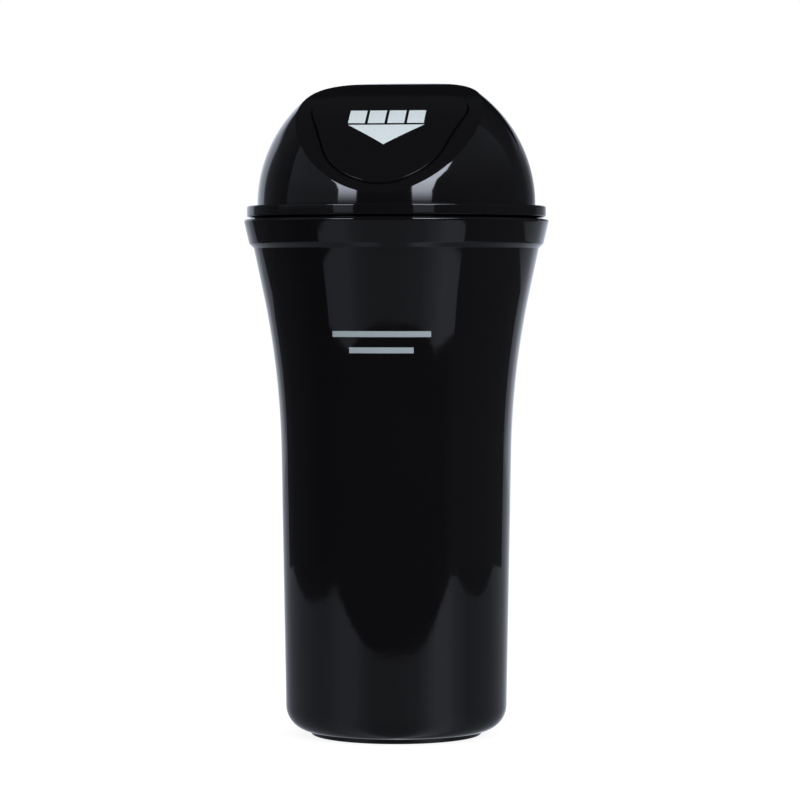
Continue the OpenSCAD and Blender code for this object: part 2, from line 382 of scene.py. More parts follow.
def binProfile():
    edges, small = tub["edges"], tub["smallRound"]
    under = tub["footHeight"]
    footIn = footRadius - tub["footWidth"]
    neck = (neckRadius, tub["bandStart"])
    low = (bandRadius, tub["bandStart"] + tub["bandUnder"])
    top = (rimRadius, rimHeight)
    mouth = (socketRadius, rimHeight)
    ledge = (socketRadius, ledgeHeight)
    ledgeIn = (ledgeRadius, ledgeHeight)
    wallIn = tuple(flareEnd - Vector((tub["wall"], 0)))
    line = [(0, under), (footIn / 2, under), (footIn - tub["floorLead"], under), (footIn, under)]
    line += roundCorner((footIn, under), (footIn, 0), (footRadius, 0), edges["foot"])
    line += roundCorner((footIn, 0), (footRadius, 0), (footRadius, under), edges["foot"])
    cornerAngle = math.degrees(math.acos((footRadius - cornerCentre.x) / tub["cornerRadius"]))
    line += wallLine(0, -cornerAngle)
    line += roundCorner(tuple(flareEnd), neck, low, *small)
    line += roundCorner(neck, low, top, edges["band"])
    line += roundCorner(low, top, mouth, edges["rim"])
    line += roundCorner(top, mouth, ledge, edges["mouth"])
    line += roundCorner(mouth, ledge, ledgeIn, *small)
    line += roundCorner(ledge, ledgeIn, wallIn, *small)
    line += list(reversed(wallLine(tub["wall"], -90)))
    line += [(footIn, under + tub["wall"]), (0, under + tub["wall"])]
    return line


binShell = spinProfile("binShell", binProfile(), tub["spinSteps"])
cleanUp(binShell)
dress(binShell, "bin", binBlack, "bin_plastic", "bin_body")
print("bin made")


# The lid and the flap, set from the slanted face: origin at the flap's middle, X across,
# Y up the slope, Z outwards

lidSizes = {
    "wall": 1.8,
    "seatGap": 0.3,
    "skirtGap": 0.25,
    "skirtHeight": 5.8,
    "skirtWall": 1.6,
    "flangeInset": 1,
    "flangeHeight": 3.6,
    "flangeLift": 0.45,
    "flangeLip": 1.2,
    "domeInset": 0.7,
    "domeLift": 0.4,
    "crushRibs": 8,
    "crushRadius": 0.5,
    "crushClear": 0.07,
    "crushFoot": 1,
    "crushTop": 0.5,
    "faceTilt": 36.6,  # degrees
    "faceRadius": 79.2,
    "faceDepth": 10.2,
    "faceShift": 5.4,
    "crease": 0.4,
    "creaseTop": 0.12,
    "openingEdge": 0.25,
    "edges": {"flange": 0.5, "skirt": 0.4},
    "tipRound": (0.3, 4),  # radius and steps
    "chamfer": 0.15,
    "lead": 0.2,
    "domeEnd": 0.4,  # above the flange
    "innerEnd": 0.6,  # above the inner foot of the dome
    "faceShares": (0.06, 0.2, 0.4, 0.6, 0.75, 0.86),  # of the way from the opening to the crease
    "innerShares": (1, 0.75, 0.5, 0.25, 0),
    "creaseSteps": 8,
    "domeSteps": 30,
    "innerSteps": 18,
}
flapSizes = {
    "length": 45.8,
    "shoulderRadius": 13,
    "shoulderX": 9.7,
    "chinRadius": 18,
    "gap": 0.5,
    "fill": 0.2,  # how far the plate reaches into the gap
    "proud": 0.6,
    "plate": 1.8,
    "rib": 1.5,
    "lipWidth": 2,
    "lipThickness": 1.2,
    "lipGap": 0.3,
    "ribEnd": 11,
    "edge": 0.12,
    "pinBack": 4,
    "pinDepth": 4.5,
    "pinRadius": 1,
    "pinClear": 0.05,
    "pinGrip": 0.02,
    "knuckleRadius": 2.4,
    "knuckleSpan": 14,
    "knuckleWidth": 4,
    "webWidth": 3.8,
    "lugGap": 1,
    "lugWidth": 3,
    "neckReach": 8.5,
    "neckTop": 1.5,
    "plateShares": (0, 0.1, 0.25, 0.4, 0.55, 0.7, 0.82, 0.91, 0.97),  # of the way to the rim
    "underShares": (0.95, 0.7, 0.45, 0.2, 0),
    "underEdge": (0.1, 0.15),
    "ribBury": 0.5,
    "ribInset": 0.02,
    "lipFillet": 0.1,
    "chamfer": 0.15,
}
lid, flap = lidSizes, flapSizes
skirtRadius = socketRadius - lid["skirtGap"]
skirtInside = skirtRadius - lid["skirtWall"]
seatHeight = rimHeight + lid["seatGap"]
skirtFoot = seatHeight - lid["skirtHeight"]
flangeRadius = rimRadius - lid["flangeInset"]
flangeTop = seatHeight + lid["flangeHeight"]
domeRadius = skirtRadius - lid["domeInset"]
domeHeight = flangeTop + lid["domeLift"]
domeCentre = Vector((0, 0, domeHeight))
faceRadius = lid["faceRadius"]
faceTurn = Matrix.Rotation(math.radians(lid["faceTilt"]), 3, "X")
faceOrigin = domeCentre + faceTurn @ Vector((0, -lid["faceShift"], domeRadius - lid["faceDepth"]))
shoulderY = flap["length"] / 2 - flap["shoulderRadius"]
chinY = flap["chinRadius"] - flap["length"] / 2
ribTop = flap["length"] / 2 - flap["ribEnd"]
plateTop = faceRadius + flap["proud"]
plateUnder = plateTop - flap["plate"]
lipTop = faceRadius - lid["wall"] - flap["lipGap"]
lipUnder = lipTop - flap["lipThickness"]


def barrelHeight(radius, y):
    return math.sqrt(radius * radius - y * y) - faceRadius


def fromFace(x, y, z):
    return faceOrigin + faceTurn @ Vector((x, y, z))


def onBarrel(radius, x, y, below=0):
    return fromFace(x, y, barrelHeight(radius, y) - below)


pinY = flap["length"] / 2 - flap["pinBack"]
pinZ = barrelHeight(faceRadius, pinY) - flap["pinDepth"]
knuckleX = flap["knuckleSpan"] / 2
lugX = knuckleX + flap["knuckleWidth"] + flap["lugGap"]
pinHalf = lugX + flap["lugWidth"]


# The flap's outline as a walk of (centre, radius, angle), from the right shoulder over the top
def outlineWalk(step=0.8, spread=8):
    apart = math.hypot(flap["shoulderX"], shoulderY - chinY)
    side = math.atan2(shoulderY - chinY, flap["shoulderX"])
    side -= math.acos((flap["chinRadius"] - flap["shoulderRadius"]) / apart)
    quarter = math.pi / 2
    right = (Vector((flap["shoulderX"], shoulderY)), flap["shoulderRadius"])
    left = (Vector((-flap["shoulderX"], shoulderY)), flap["shoulderRadius"])
    chin = (Vector((0, chinY)), flap["chinRadius"])
    legs = [
        (right, right, side, quarter),
        (right, left, quarter, quarter),
        (left, left, quarter, math.pi - side),
        (left, chin, math.pi - side, math.pi - side),
        (chin, chin, math.pi - side, fullTurn + side),
        (chin, right, fullTurn + side, fullTurn + side),
    ]
    walk = []
    for (c1, r1), (c2, r2), from_, to in legs:
        length = (c2 - c1).length + (to - from_) * ((r1 + r2) / 2 + spread)
        count = max(2, round(length / step))
        for i in range(count):
            k = i / count
            walk.append((c1.lerp(c2, k), r1 + (r2 - r1) * k, from_ + (to - from_) * k))
    return walk


walk = outlineWalk()


def outlinePoint(sample, grow):
    centre, radius, angle = sample
    return centre + (radius + grow) * Vector((math.cos(angle), math.sin(angle)))


# How far the walk's outward ray runs to the crease between a barrel and a sphere
def creaseReach(sample, barrel, sphere):
    near, far = 0.0, 40.0
    for _ in range(40):
        middle = (near + far) / 2
        p = outlinePoint(sample, middle)
        if (onBarrel(barrel, p.x, p.y) - domeCentre).length < sphere:
            near = middle
        else:
            far = middle
    return (near + far) / 2


def ringOnBarrel(barrel, grow, below=0):
    ring = []
    for sample in walk:
        p = outlinePoint(sample, grow)
        ring.append(onBarrel(barrel, p.x, p.y, below))
    return ring


# Rings on a barrel at shares of the way from one reach to another
def landRings(barrel, growFrom, reaches, shares):
    rings = []
    for k in shares:
        ring = []
        for sample, reach in zip(walk, reaches):
            p = outlinePoint(sample, growFrom + (reach - growFrom) * k)
            ring.append(onBarrel(barrel, p.x, p.y))
        rings.append(ring)
    return rings


def barrelNormal(point):
    local = faceTurn.transposed() @ (point - faceOrigin)
    return faceTurn @ Vector((0, local.y, local.z + faceRadius)).normalized()


# The rolled edge between the slanted face and the dome, tighter towards the top
def creaseRings(reaches, steps):
    corners = []
    for sample, reach in zip(walk, reaches):
        p = outlinePoint(sample, reach)
        corner = onBarrel(faceRadius, p.x, p.y)
        onFace, onDome = barrelNormal(corner), (corner - domeCentre).normalized()
        high = min(max(p.y / shoulderY, 0), 1)
        radius = lid["crease"] + (lid["creaseTop"] - lid["crease"]) * high
        middle = corner - radius * (onFace + onDome) / (1 + onFace.dot(onDome))
        corners.append((middle, onFace, onDome, radius))
    rings = []
    for i in range(steps + 1):
        rings.append([middle + radius * onFace.slerp(onDome, i / steps)
                      for middle, onFace, onDome, radius in corners])
    return rings


# Rings from points on the dome down their meridians to a height
def domeRings(start, sphere, height, count):
    rings = []
    for i in range(1, count + 1):
        k = i / count
        ring = []
        for p in start:
            away = p - domeCentre
            azimuth = math.atan2(away.y, away.x)
            rise = math.asin(away.z / away.length)
            rise += (math.asin((height - domeHeight) / sphere) - rise) * k
            flat = sphere * math.cos(rise)
            high = domeHeight + sphere * math.sin(rise)
            ring.append(Vector((flat * math.cos(azimuth), flat * math.sin(azimuth), high)))
        rings.append(ring)
    return rings


def ringsRound(directions, profile):
    rings = []
    for radius, height in profile:
        rings.append([Vector((radius * d.x, radius * d.y, height)) for d in directions])
    return rings


def openingRings(wallIn):
    gap, edge = flap["gap"], lid["openingEdge"]
    rings = [ringOnBarrel(wallIn, gap), ringOnBarrel(wallIn, gap, -lid["lead"])]
    for angle in range(0, 91, 18):
        a = math.radians(angle)
        rings.append(ringOnBarrel(
            faceRadius, gap + edge * (1 - math.cos(a)), edge * (1 - math.sin(a))))
    return rings


# Flange, skirt and the way back up to the inside of the dome, as (radius, height)
def skirtProfile():
    edges, chamfer, lead = lid["edges"], lid["chamfer"], lid["lead"]
    foot = (domeRadius, flangeTop)
    shoulder = (flangeRadius, flangeTop)
    low = (flangeRadius, seatHeight + lid["flangeLift"])
    under = (flangeRadius - lid["flangeLip"], seatHeight)
    tip = (skirtRadius, skirtFoot)
    tipIn = (skirtInside, skirtFoot)
    innerFoot = seatHeight + lid["wall"]
    innerRadius = math.sqrt(domeRadius ** 2 - (innerFoot - domeHeight) ** 2) - lid["wall"]
    profile = [foot] + roundCorner(foot, shoulder, low, edges["flange"])
    profile += roundCorner(shoulder, low, under, edges["skirt"])
    profile += [under, (skirtRadius + chamfer, seatHeight), (skirtRadius, seatHeight - chamfer)]
    profile += roundCorner((skirtRadius, seatHeight), tip, tipIn, edges["skirt"])
    profile += roundCorner(tip, tipIn, (skirtInside, seatHeight), *lid["tipRound"])
    profile += [(skirtInside, seatHeight - lead), (skirtInside - lead / 2, seatHeight + lead)]
    return profile + [(innerRadius, innerFoot)]


def lidRings():
    wall, gap = lid["wall"], flap["gap"]
    wallIn, sphereIn = faceRadius - wall, domeRadius - wall
    outer = [creaseReach(s, faceRadius, domeRadius) for s in walk]
    inner = [creaseReach(s, wallIn, sphereIn) for s in walk]
    crease = creaseRings(outer, lid["creaseSteps"])
    rings = openingRings(wallIn)
    rings += landRings(faceRadius, gap + lid["openingEdge"], outer, lid["faceShares"])
    rings += crease
    rings += domeRings(crease[-1], domeRadius, flangeTop + lid["domeEnd"], lid["domeSteps"])
    directions = [Vector((p.x, p.y, 0)).normalized() for p in rings[-1]]
    rings += ringsRound(directions, skirtProfile())
    innerCrease = landRings(wallIn, gap, inner, (1,))[0]
    innerFoot = seatHeight + wall + lid["innerEnd"]
    rise = domeRings(innerCrease, sphereIn, innerFoot, lid["innerSteps"])
    rings += list(reversed(rise))
    rings += landRings(wallIn, gap, inner, lid["innerShares"])
    return rings


def addLug(x):
    rootZ = barrelHeight(faceRadius - lid["wall"] / 2, pinY + flap["neckReach"]) - pinZ
    radius, reach, top = flap["knuckleRadius"], flap["neckReach"], flap["neckTop"]
    side = [(reach, -radius), (reach, rootZ), (flap["pinBack"], top)]
    side += [(radius * math.cos(math.radians(a)), radius * math.sin(math.radians(a)))
             for a in range(40, 271, 10)]
    rings = []
    for way in (0, 1):
        rings.append([fromFace(x + way * flap["lugWidth"], pinY + y, pinZ + z) for y, z in side])
    lug = loftRings("lug", rings)
    editAll()
    bpy.ops.mesh.region_to_loop()
    bpy.ops.mesh.edge_face_add()
    bpy.ops.mesh.normals_make_consistent(inside=False)
    leaveEdit()
    return lug


def addBore(radius, half):
    deselectAll()
    bpy.ops.mesh.primitive_cylinder_add(
        vertices=48, radius=radius * mm, depth=2 * half * mm,
        location=fromFace(0, pinY, pinZ) * mm, rotation=(0, math.pi / 2, 0))
    bore = added("bore")
    applyPlace(bore)
    return bore


lidShell = loftRings("lidShell", lidRings())
cleanUp(lidShell)
for x in (lugX, -lugX - flap["lugWidth"]):
    lug = addLug(x)
    booleanWith(lug, addBore(flap["pinRadius"] + flap["pinGrip"], pinHalf + 1), "DIFFERENCE")
    booleanWith(lidShell, lug, "UNION")
crushHeight = lid["skirtHeight"] - lid["crushFoot"] - lid["crushTop"]
crushMiddle = skirtFoot + lid["crushFoot"] + crushHeight / 2
crushOut = socketRadius - lid["crushClear"] - lid["crushRadius"]
for i in range(lid["crushRibs"]):
    turn = fullTurn * (i + 0.5) / lid["crushRibs"]
    place = Vector((crushOut * math.cos(turn), crushOut * math.sin(turn), crushMiddle)) * mm
    deselectAll()
    bpy.ops.mesh.primitive_cylinder_add(
        vertices=24, radius=lid["crushRadius"] * mm, depth=crushHeight * mm, location=place)
    rib = added("crushRib")
    applyPlace(rib)
    booleanWith(lidShell, rib, "UNION")
cleanUp(lidShell)
dress(lidShell, "lid", lidBlack, "lid_plastic", "lid_dome")
print("lid made")


# The flap: a crowned plate, a rib and stop lip under its lower part, two knuckles

def plateRings():
    edge, fill = flap["edge"], flap["fill"]
    middle = Vector((0, 0))
    rings = []
    inside = [outlinePoint(s, fill - edge) for s in walk]
    for k in flap["plateShares"]:
        spots = [middle.lerp(p, k) for p in inside]
        rings.append([onBarrel(plateTop, q.x, q.y) for q in spots])
    for angle in range(0, 91, 10):
        a = math.radians(angle)
        rings.append(ringOnBarrel(
            plateTop, fill + edge * (math.sin(a) - 1), edge * (1 - math.cos(a))))
    inset, rise = flap["underEdge"]
    rings.append(ringOnBarrel(plateUnder, fill, -rise))
    rings.append(ringOnBarrel(plateUnder, fill - inset))
    for k in flap["underShares"]:
        spots = [middle.lerp(outlinePoint(s, 0), k) for s in walk]
        rings.append([onBarrel(plateUnder, q.x, q.y) for q in spots])
    return rings


# Section of the rib and lip, as (grow, barrel), walked once round
def ribRings():
    buried = plateUnder + flap["ribBury"]
    lipOut, inside, out = flap["lipWidth"], -flap["rib"], -flap["ribInset"]
    chamfer, fillet = flap["chamfer"], flap["lipFillet"]
    section = [(inside, buried), (out, buried), (out, lipTop + fillet), (fillet, lipTop)]
    section += [(lipOut - chamfer, lipTop), (lipOut, lipTop - chamfer)]
    section += [(lipOut, lipUnder + chamfer), (lipOut - chamfer, lipUnder)]
    section += [(inside + chamfer, lipUnder), (inside, lipUnder + chamfer), (inside, buried)]
    return [ringOnBarrel(barrel, grow) for grow, barrel in section]


def addKnuckle(x):
    centreX = x + flap["knuckleWidth"] / 2
    deselectAll()
    bpy.ops.mesh.primitive_cylinder_add(
        vertices=64, radius=flap["knuckleRadius"] * mm, depth=flap["knuckleWidth"] * mm,
        location=fromFace(centreX, pinY, pinZ) * mm, rotation=(0, math.pi / 2, 0))
    barrel = added("knuckle")
    applyPlace(barrel)
    high = barrelHeight(plateUnder, pinY) - pinZ + flap["plate"] / 2
    webY = pinY - flap["knuckleRadius"] + flap["webWidth"] / 2
    deselectAll()
    bpy.ops.mesh.primitive_cube_add(
        size=1, location=fromFace(centreX, webY, pinZ + high / 2) * mm,
        rotation=(math.radians(lid["faceTilt"]), 0, 0))
    web = added("web")
    web.scale = (flap["knuckleWidth"] * mm, flap["webWidth"] * mm, high * mm)
    applyPlace(web)
    booleanWith(barrel, web, "UNION")
    return barrel


flapShell = loftRings("flapShell", plateRings())
cleanUp(flapShell)
rib = loftRings("rib", ribRings())
cleanUp(rib)
activate(rib)
editAll()
bpy.ops.mesh.bisect(
    plane_co=fromFace(0, ribTop, 0) * mm, plane_no=faceTurn @ Vector((0, 1, 0)),
    use_fill=True, clear_outer=True)
leaveEdit()
booleanWith(flapShell, rib, "UNION")
for x in (knuckleX, -knuckleX - flap["knuckleWidth"]):
    booleanWith(flapShell, addKnuckle(x), "UNION")
booleanWith(flapShell, addBore(flap["pinRadius"] + flap["pinClear"], pinHalf + 1), "DIFFERENCE")
cleanUp(flapShell)
dress(flapShell, "flap", flapBlack, "flap_plastic", "push_flap")
print("flap made")


# The spring on the pin: a coil with one leg under the lid's shell and one under the flap

springSizes = {
    "wire": 0.8,
    "turns": 5,
    "air": 0.1,
    "play": 0.35,
    "flapLeg": 12,
    "lidLeg": 9,
    "legClear": 0.1,
    "legTurn": 140,  # degrees of the coil that swing with the flap's leg
    "fixedFrom": 90,  # degrees along the coil at which its fixed part starts
    "legThinner": 0.02,
    "stepsPerTurn": 40,
    "smoothAngle": 60,
}
spring = springSizes
coilRadius = flap["pinRadius"] + spring["play"] + spring["wire"] / 2
coilHalf = (spring["wire"] + spring["air"]) * spring["turns"] / 2
flapLegZ = barrelHeight(plateUnder, pinY - spring["flapLeg"]) - pinZ
flapLegZ -= spring["wire"] / 2 + spring["legClear"]
lidLegZ = barrelHeight(faceRadius - lid["wall"], pinY + spring["lidLeg"]) - pinZ
lidLegZ -= spring["wire"] / 2 + spring["legClear"]


def legSlope(y, z):
    return math.degrees(math.atan2(z, y) - math.asin(coilRadius / math.hypot(y, z)))


leave = 90 - legSlope(spring["flapLeg"], flapLegZ)
enter = 90 + legSlope(spring["lidLeg"], lidLegZ)
sweep = 360 * spring["turns"] + leave - enter


def coilPoint(turned):
    a = math.radians(leave - turned)
    x = -coilHalf + 2 * coilHalf * turned / sweep
    return fromFace(x, pinY + coilRadius * math.cos(a), pinZ + coilRadius * math.sin(a))


def addWire(name, points, diameter):
    curve = bpy.data.curves.new(name, "CURVE")
    curve.dimensions = "3D"
    line = curve.splines.new("POLY")
    line.points.add(len(points) - 1)
    for point, place in zip(line.points, points):
        point.co = (*(place * mm), 1)
    curve.bevel_depth = diameter / 2 * mm
    curve.bevel_resolution = 4
    curve.use_fill_caps = True
    wire = bpy.data.objects.new(name, curve)
    bpy.context.scene.collection.objects.link(wire)
    activate(wire)
    bpy.ops.object.convert(target="MESH")
    return added(name)


def coilPoints(start, end):
    count = round((end - start) / 360 * spring["stepsPerTurn"])
    return [coilPoint(start + (end - start) * i / count) for i in range(count + 1)]


flapLegEnd = fromFace(-coilHalf, pinY - spring["flapLeg"], pinZ + flapLegZ)
lidLegEnd = fromFace(coilHalf, pinY + spring["lidLeg"], pinZ + lidLegZ)
coilLine = coilPoints(spring["fixedFrom"], sweep) + [lidLegEnd]
springCoil = addWire("springCoil", coilLine, spring["wire"])
cleanUp(springCoil, spring["smoothAngle"])
dress(springCoil, "lid", springSteel, "spring_steel", "torsion_spring")
legLine = [flapLegEnd] + coilPoints(0, spring["legTurn"])
springLeg = addWire("springLeg", legLine, spring["wire"] - spring["legThinner"])
cleanUp(springLeg, spring["smoothAngle"])
dress(springLeg, "flap", springSteel, "spring_steel")
pin = bpy.data.objects["hinge_pin"]
pin.data.materials.clear()
pin.data.materials.append(pinSteel)
print("spring and pin made")


# Print: a mark and plain blocks on the flap, two plain bars on the bin, as thin skins of ink

printSizes = {
    "ink": 0.03,
    "depth": 1.2,  # of the ink's thickness, so that it ends inside the plastic
    "slice": 0.8,
    "smoothAngle": 30,
    "markLeft": (-11.25, 0.8),  # x and y in the flap's frame
    "markRight": (11.25, 0.8),
    "markTip": (0.1, -8.6),
    "blocksBottom": 1.7,
    "blocksTop": 9.0,
    "blocksFrom": -11.4,
    "blockWidth": 4.95,
    "blockGap": 0.85,
    "blocks": 4,
    "barCentre": 0.5,  # degrees round the bin from its front
    "bars": ((120.4, 29.5, 1.7), (115.7, 19, 1.7)),  # height, width, thickness
}
ink = printSizes


# A flat polygon in the flap's frame, cut finely, laid on the plate and given the ink's thickness
def layOnFlap(name, corners):
    deselectAll()
    bpy.ops.mesh.primitive_circle_add(vertices=len(corners), radius=10 * mm, fill_type="NGON")
    patch = added(name)
    for vertex, (x, y) in zip(patch.data.vertices, corners):
        vertex.co = (x * mm, y * mm, 0)
    bpy.ops.object.mode_set(mode="EDIT")
    low, high = min(y for _, y in corners), max(y for _, y in corners)
    slices = math.ceil((high - low) / ink["slice"])
    for i in range(1, slices):
        bpy.ops.mesh.select_all(action="SELECT")
        level = low + (high - low) * i / slices
        bpy.ops.mesh.bisect(plane_co=(0, level * mm, 0), plane_no=(0, 1, 0))
    leaveEdit()
    for vertex in patch.data.vertices:
        x, y = vertex.co.x / mm, vertex.co.y / mm
        vertex.co = onBarrel(plateTop + ink["ink"], x, y) * mm
    finishInk(patch)
    dress(patch, "flap", flapInk, "flap_plastic")


def finishInk(patch):
    thick = patch.modifiers.new("thickness", "SOLIDIFY")
    thick.thickness = ink["depth"] * ink["ink"] * mm
    thick.offset = -1
    activate(patch)
    editAll()
    bpy.ops.mesh.normals_make_consistent(inside=False)
    leaveEdit()
    applyModifiers(patch)
    bpy.ops.object.shade_smooth_by_angle(angle=math.radians(ink["smoothAngle"]))


layOnFlap("flapMark", [ink["markLeft"], ink["markTip"], ink["markRight"]])
for i in range(ink["blocks"]):
    x = ink["blocksFrom"] + i * (ink["blockWidth"] + ink["blockGap"])
    low, high, wide = ink["blocksBottom"], ink["blocksTop"], ink["blockWidth"]
    layOnFlap(f"flapBlock{i + 1}", [(x, low), (x + wide, low), (x + wide, high), (x, high)])


def wallRadius(height):
    across = height - flareCentre.y
    return flareCentre.x - math.sqrt(tub["flareRadius"] ** 2 - across * across)


def layOnBin(name, height, width, thickness):
    deselectAll()
    bpy.ops.mesh.primitive_grid_add(x_subdivisions=40, y_subdivisions=3, size=1)
    patch = added(name)
    for vertex in patch.data.vertices:
        z = height + vertex.co.y * thickness
        radius = wallRadius(z) + ink["ink"]
        angle = vertex.co.x * width / radius + math.radians(ink["barCentre"])
        vertex.co = Vector((radius * math.sin(angle), -radius * math.cos(angle), z)) * mm
    finishInk(patch)
    dress(patch, "bin", bodyInk, "bin_plastic")


for i, (height, width, thickness) in enumerate(ink["bars"]):
    layOnBin(f"binBar{i + 1}", height, width, thickness)
print("print laid")


# Stage: a floor, and round it what the gloss reflects: a table, cards, panels and the world

stageSizes = {
    "tint": (0.93, 1, 1.15),  # of all that the gloss reflects
    "floorReach": 3000,
    "floorGrey": 0.35,
    "floorGlow": 0.84,
    "sheenHeight": -36,
    "cardTop": 90,
    "cardSteps": 20,
    "panelCentre": 165,
    "panelDistance": 1200,
    "scrimDistance": 1300,
    "panelSteps": 16,
    "lampDistance": 1200,
    "cameraDistance": 1028,
    "cameraAzimuth": 7.5,  # degrees
    "cameraHeight": 134,
    "cameraLens": 154.5,
    "cameraPitch": 1.885,  # degrees down
    "cameraYaw": 0.06,  # degrees to the right
}
stage = stageSizes


def stageMaterial(name, build):
    material, nodes, links = newMaterial(name)
    nodes.clear()
    output = nodes.new("ShaderNodeOutputMaterial")
    links.new(build(nodes, links), output.inputs["Surface"])
    return material


def mathNode(nodes, links, operation, *values):
    node = nodes.new("ShaderNodeMath")
    node.operation = operation
    for socket, value in zip(node.inputs, values):
        if isinstance(value, (int, float)):
            socket.default_value = value
        else:
            links.new(value, socket)
    return node.outputs["Value"]


# The tinted level that a row of (place, level) stops has at the place that a socket gives
def levelRamp(nodes, links, place, stops):
    low, high = stops[0][0], stops[-1][0]
    span = addRange(nodes, links, place, (low, high))
    ramp = nodes.new("ShaderNodeValToRGB")
    elements = ramp.color_ramp.elements
    elements[1].position = 1
    elements[0].color = shaded(stage["tint"], stops[0][1])
    elements[1].color = shaded(stage["tint"], stops[-1][1])
    for at, level in stops[1:-1]:
        elements.new((at - low) / (high - low)).color = shaded(stage["tint"], level)
    links.new(span.outputs["Result"], ramp.inputs["Fac"])
    return ramp.outputs["Color"]


# Degrees round the object from its front, positive to the right, and the height part of a vector
def azimuthOf(nodes, links, vector):
    parts = nodes.new("ShaderNodeSeparateXYZ")
    links.new(vector, parts.inputs["Vector"])
    forward = mathNode(nodes, links, "MULTIPLY", parts.outputs["Y"], -1)
    around = mathNode(nodes, links, "ARCTAN2", parts.outputs["X"], forward)
    return mathNode(nodes, links, "DEGREES", around), parts.outputs["Z"]


# Grey under the lamps and a glow for the camera alone: it reads white with a soft shadow
def floorShader(nodes, links):
    grey = nodes.new("ShaderNodeBsdfDiffuse")
    grey.inputs["Color"].default_value = shaded((1, 1, 1), stage["floorGrey"])
    glow = nodes.new("ShaderNodeEmission")
    path = nodes.new("ShaderNodeLightPath")
    level = mathNode(nodes, links, "MULTIPLY", path.outputs["Is Camera Ray"], stage["floorGlow"])
    links.new(level, glow.inputs["Strength"])
    both = nodes.new("ShaderNodeAddShader")
    links.new(grey.outputs["BSDF"], both.inputs[0])
    links.new(glow.outputs["Emission"], both.inputs[1])
    return both.outputs["Shader"]


# The table's painted sheen by degrees round the object, a glow seen in reflections alone:
# a pale column of painted panel light on each side of the front, and a far side painted brighter
sheenStops = [
    (-180, 0.95), (-165, 0.75), (-151, 0.50), (-138, 0.32), (-125, 0.22), (-100, 0.19),
    (-72, 0.18), (-60, 0.23), (-47, 0.31), (-33, 0.30), (-25, 0.20), (-15, 0.15), (7, 0.14),
    (27, 0.18), (38, 0.32), (47, 0.46), (59, 0.44), (70, 0.28), (84, 0.17), (113, 0.18),
    (130, 0.24), (145, 0.31), (155, 0.48), (167, 0.70), (180, 0.95)]


# A glow whose level follows the degrees round the object
def ringGlow(stops):
    def build(nodes, links):
        where = nodes.new("ShaderNodeTexCoord")
        azimuth, _ = azimuthOf(nodes, links, where.outputs["Object"])
        glow = nodes.new("ShaderNodeEmission")
        links.new(levelRamp(nodes, links, azimuth, stops), glow.inputs["Color"])
        return glow.outputs["Emission"]
    return build


def addSheet(name, corners, material):
    deselectAll()
    bpy.ops.mesh.primitive_circle_add(vertices=len(corners), radius=1, fill_type="NGON")
    sheet = added(name)
    for vertex, corner in zip(sheet.data.vertices, corners):
        vertex.co = Vector(corner) * mm
    sheet.data.materials.append(material)
    return sheet


# Seen in reflections alone
def onlyReflected(thing):
    thing.visible_camera = False
    thing.visible_diffuse = False
    thing.visible_shadow = False
    thing.visible_transmission = False


far = stage["floorReach"]
floorCorners = [(-far, -far, 0), (far, -far, 0), (far, far, 0), (-far, far, 0)]
floor = addSheet("floor", floorCorners, stageMaterial("floor", floorShader))
floor.visible_glossy = False

# The table's outline as (x, y): where it ends, the pale columns on the wall end too
tableEdge = [
    (-619, -368), (-584, -415), (-442, -451), (-304, -462), (-221, -465), (-129, -467),
    (-52, -470), (53, -468), (157, -448), (229, -428), (304, -412), (391, -405), (513, -398),
    (683, -350), (738, -273), (716, -117), (710, 48), (723, 248), (747, 386), (790, 640),
    (960, 1080), (1200, 1600), (-1500, 1500), (-1100, 990), (-890, 700), (-800, 530),
    (-742, 213), (-705, -12), (-659, -215)]
tableCorners = [(x, y, stage["sheenHeight"]) for x, y in tableEdge]
# The sheen sheet glows with painted light in reflections alone, standing for a lit table
sheen = addSheet("sheen", tableCorners, stageMaterial("sheen", ringGlow(sheenStops)))
onlyReflected(sheen)


# A grid bent round the object: place turns shares of the way across and up into a point
def addBent(name, across, up, place, material):
    deselectAll()
    bpy.ops.mesh.primitive_grid_add(x_subdivisions=across, y_subdivisions=up, size=1)
    bent = added(name)
    for vertex in bent.data.vertices:
        vertex.co = Vector(place(vertex.co.x + 0.5, vertex.co.y + 0.5)) * mm
    bent.data.materials.append(material)
    onlyReflected(bent)


# A card round the side, which keeps the table out of the flare's reflections: a sheet of painted
# shade seen in reflections alone
def addCard(name, material, radius, foot, start, end):
    def place(across, up):
        turn = math.radians(start + (end - start) * across)
        height = foot + (stage["cardTop"] - foot) * up
        return radius * math.sin(turn), -radius * math.cos(turn), height
    addBent(name, stage["cardSteps"], 1, place, material)


# Painted shade on the cards by degrees round the object: nought is dark, and the small levels are
# a dim painted glow towards the back
leftStops = [(-127, 0.05), (-108, 0.03), (-85, 0.025), (-70, 0), (-32, 0)]
rightStops = [(38, 0), (54, 0.005), (62, 0.033), (80, 0.038), (137, 0.05)]
leftPaintedShade = stageMaterial("left painted shade", ringGlow(leftStops))
rightPaintedShade = stageMaterial("right painted shade", ringGlow(rightStops))
addCard("cardLeft", leftPaintedShade, 300, 24, -127, -53)
addCard("wingLeft", leftPaintedShade, 380, 17, -58, -30)
addCard("cardRight", rightPaintedShade, 300, 24, 59.5, 137)
addCard("wingRight", rightPaintedShade, 380, 14, 36, 65)


